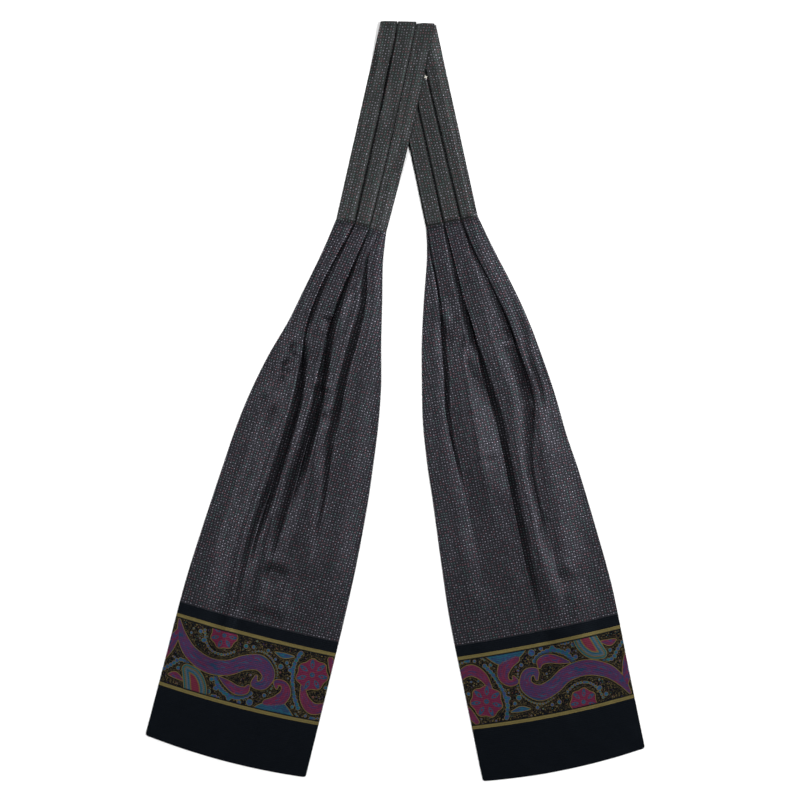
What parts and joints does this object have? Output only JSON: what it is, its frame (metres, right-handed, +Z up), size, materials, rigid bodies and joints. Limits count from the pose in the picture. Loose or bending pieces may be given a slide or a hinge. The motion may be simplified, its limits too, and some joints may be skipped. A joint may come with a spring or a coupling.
{
  "type": "silk day cravat",
  "caption": "Self-tie silk day cravat laid flat: broad blades with a printed paisley border, joined by a narrow pleated neckband that is folded over at its middle.",
  "frame": {"origin": "middle of the laid-out cravat's outline in plan, at the table that it lies on", "axes": "+X to the right across the blades, +Y from the hems up to the turn of the neckband, +Z up from the table"},
  "size_m": [0.3996, 0.608, 0.0075],
  "materials": {
    "printed_silk": "silk twill, charcoal with a pin-dot print and a dark paisley end border, soft sheen",
    "pleated_silk": "silk twill, charcoal with a pin-dot print, pressed into knife pleats, soft sheen"
  },
  "bodies": {
    "root": {"blade_front": "printed_silk", "blade_back": "printed_silk", "neckband_front": "pleated_silk", "neckband_back": "pleated_silk", "neckband_turn": "pleated_silk"}
  },
  "joints": []
}
